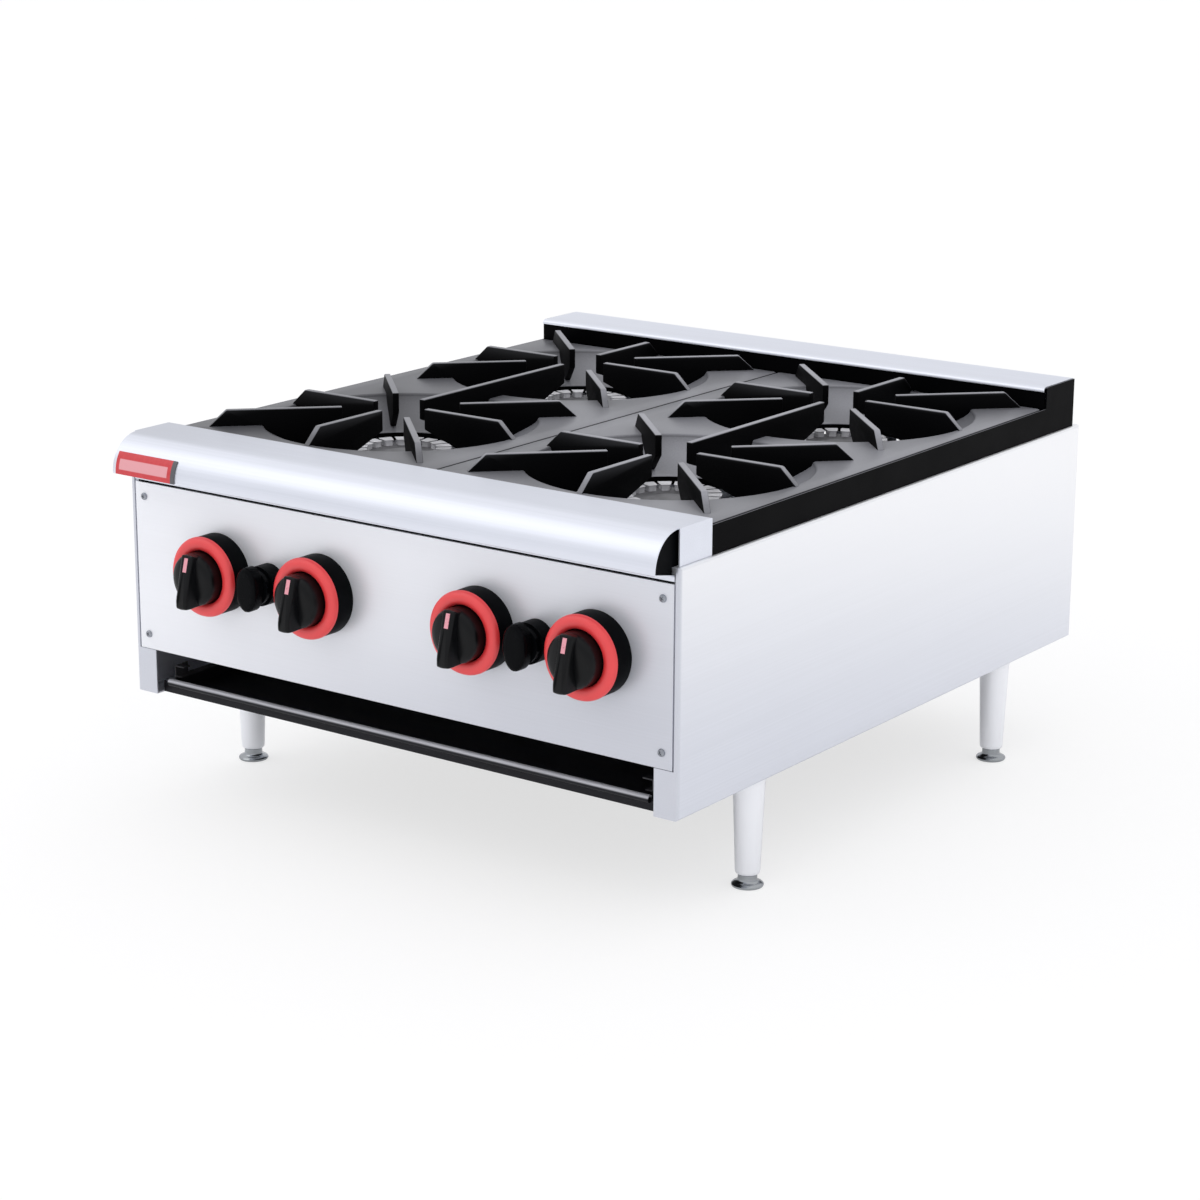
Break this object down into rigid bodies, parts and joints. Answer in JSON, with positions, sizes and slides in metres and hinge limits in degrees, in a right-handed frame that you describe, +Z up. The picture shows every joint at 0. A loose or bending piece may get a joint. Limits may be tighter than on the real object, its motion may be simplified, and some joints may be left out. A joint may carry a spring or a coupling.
{
  "type": "tabletop gas stove",
  "caption": "Countertop gas stove with cast-iron grates, front knobs, push-button igniters, a pull-out drip tray, a rear gas inlet and adjustable feet.",
  "frame": {"origin": "centre of the overall box, at the level that the feet stand on", "axes": "+X to the right seen from the front, +Y from the front to the back, +Z up"},
  "size_m": [0.61, 0.766, 0.361],
  "materials": {
    "stainless_side": "brushed stainless, satin",
    "stainless_front": "brushed stainless, satin",
    "stainless_ledge": "brushed stainless, satin",
    "stainless_back": "brushed stainless",
    "stainless_rear_rail": "brushed stainless, satin",
    "screw_steel": "plain steel",
    "black_plug": "matt black",
    "badge": "gloss red, bare",
    "black_frame": "black enamel",
    "grate_iron": "black enamelled casting",
    "knob_black": "satin black",
    "stem_steel": "turned",
    "valve_brass": "machined",
    "bezel_black": "gloss black",
    "ring_red": "gloss red",
    "igniter_black": "satin black",
    "pipe_steel": "grey pipe paint",
    "bracket_steel": "dark galvanised",
    "burner_cast": "grey casting",
    "burner_cap_metal": "pale machined casting",
    "shutter_steel": "plated",
    "electrode_ceramic": "glazed ceramic",
    "lead_rubber": "silicone sleeve",
    "tray_steel": "plain sheet",
    "leg_steel": "satin",
    "foot_chrome": "plated",
    "bolt_steel": "plated"
  },
  "bodies": {
    "casing": {"left_side_panel": "stainless_side", "right_side_panel": "stainless_side", "front_panel": "stainless_front", "front_ledge": "stainless_ledge", "back_panel": "stainless_back", "rear_rail": "stainless_rear_rail", "panel_screws": "screw_steel", "ledge_end_plugs": "black_plug", "badge_plate": "badge", "left_top_rail": "black_frame", "right_top_rail": "black_frame", "front_cross_rail": "black_frame", "rear_cross_rail": "black_frame", "valve_1": "valve_brass", "valve_2": "valve_brass", "valve_3": "valve_brass", "valve_4": "valve_brass", "knob_bezels": "bezel_black", "bezel_rings": "ring_red", "left_igniter_unit": "igniter_black", "right_igniter_unit": "igniter_black", "gas_manifold": "pipe_steel", "gas_supply_pipe": "pipe_steel", "gas_inlet_nipple": "pipe_steel", "manifold_brackets": "bracket_steel", "front_burner_support": "bracket_steel", "rear_burner_support": "bracket_steel", "left_tray_runner": "bracket_steel", "right_tray_runner": "bracket_steel", "leg_plates": "bracket_steel", "burner_1": "burner_cast", "burner_2": "burner_cast", "burner_3": "burner_cast", "burner_4": "burner_cast", "burner_caps": "burner_cap_metal", "air_shutters": "shutter_steel", "spark_electrodes": "electrode_ceramic", "igniter_leads": "lead_rubber", "front_left_leg": "leg_steel", "front_right_leg": "leg_steel", "rear_left_leg": "leg_steel", "rear_right_leg": "leg_steel", "leg_bolts": "bolt_steel"},
    "knob_1": {"knob_1": "knob_black", "valve_stem_1": "stem_steel"},
    "knob_2": {"knob_2": "knob_black", "valve_stem_2": "stem_steel"},
    "knob_3": {"knob_3": "knob_black", "valve_stem_3": "stem_steel"},
    "knob_4": {"knob_4": "knob_black", "valve_stem_4": "stem_steel"},
    "left_igniter_button": {"left_igniter_button": "igniter_black"},
    "right_igniter_button": {"right_igniter_button": "igniter_black"},
    "drip_tray": {"drip_tray": "tray_steel"},
    "left_grate": {"left_grate": "grate_iron"},
    "right_grate": {"right_grate": "grate_iron"},
    "front_left_foot": {"front_left_foot": "foot_chrome"},
    "front_right_foot": {"front_right_foot": "foot_chrome"},
    "rear_left_foot": {"rear_left_foot": "foot_chrome"},
    "rear_right_foot": {"rear_right_foot": "foot_chrome"}
  },
  "joints": [
    {"name": "knob_1_turn", "type": "hinge", "parent": "casing", "child": "knob_1", "pos_m": [-0.197, -0.33, 0.2302], "axis": [0, -1, 0], "range_deg": [0, 90]},
    {"name": "knob_2_turn", "type": "hinge", "parent": "casing", "child": "knob_2", "pos_m": [-0.076, -0.33, 0.2302], "axis": [0, -1, 0], "range_deg": [0, 90]},
    {"name": "knob_3_turn", "type": "hinge", "parent": "casing", "child": "knob_3", "pos_m": [0.101, -0.33, 0.2302], "axis": [0, -1, 0], "range_deg": [0, 90]},
    {"name": "knob_4_turn", "type": "hinge", "parent": "casing", "child": "knob_4", "pos_m": [0.222, -0.33, 0.2302], "axis": [0, -1, 0], "range_deg": [0, 90]},
    {"name": "left_igniter_press", "type": "slide", "parent": "casing", "child": "left_igniter_button", "axis": [0, 1, 0], "range_m": [0, 0.006], "stiffness_N_per_m": 800},
    {"name": "right_igniter_press", "type": "slide", "parent": "casing", "child": "right_igniter_button", "axis": [0, 1, 0], "range_m": [0, 0.006], "stiffness_N_per_m": 800},
    {"name": "drip_tray_pull", "type": "slide", "parent": "casing", "child": "drip_tray", "axis": [0, -1, 0], "range_m": [0, 0.5]},
    {"name": "left_grate_lift", "type": "slide", "parent": "casing", "child": "left_grate", "axis": [0, 0, 1], "range_m": [0, 0.12]},
    {"name": "right_grate_lift", "type": "slide", "parent": "casing", "child": "right_grate", "axis": [0, 0, 1], "range_m": [0, 0.12]},
    {"name": "front_left_foot_turn", "type": "hinge", "parent": "casing", "child": "front_left_foot", "pos_m": [-0.287, -0.196, 0.04], "axis": [0, 0, 1], "continuous": true},
    {"name": "front_right_foot_turn", "type": "hinge", "parent": "casing", "child": "front_right_foot", "pos_m": [0.287, -0.196, 0.04], "axis": [0, 0, 1], "continuous": true},
    {"name": "rear_left_foot_turn", "type": "hinge", "parent": "casing", "child": "rear_left_foot", "pos_m": [-0.287, 0.234, 0.04], "axis": [0, 0, 1], "continuous": true},
    {"name": "rear_right_foot_turn", "type": "hinge", "parent": "casing", "child": "rear_right_foot", "pos_m": [0.287, 0.234, 0.04], "axis": [0, 0, 1], "continuous": true}
  ]
}
